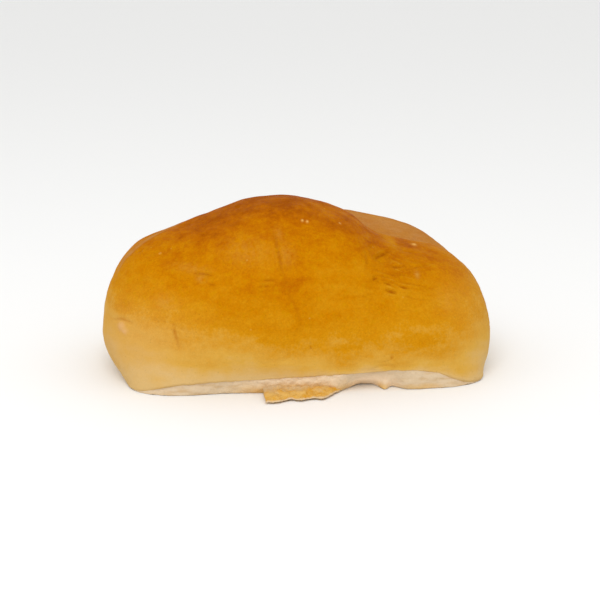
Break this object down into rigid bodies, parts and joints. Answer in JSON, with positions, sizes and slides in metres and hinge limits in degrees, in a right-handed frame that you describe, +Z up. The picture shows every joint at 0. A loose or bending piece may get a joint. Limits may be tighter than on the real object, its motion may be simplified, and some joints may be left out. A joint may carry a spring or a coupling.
{
  "type": "bread roll",
  "caption": "Soft oblong bread roll with a smooth browned crust, two long lobes and a flat torn base with a ragged tab.",
  "frame": {"origin": "middle of the box's base, on the floor plane under the roll", "axes": "+X along the roll's length, -Y towards its front with the tab, +Z up"},
  "size_m": [0.1176, 0.0803, 0.0521],
  "materials": {
    "crust": "soft baked crust with a satin sheen, paler towards the base"
  },
  "bodies": {
    "root": {"bread_roll": "crust"}
  },
  "joints": []
}
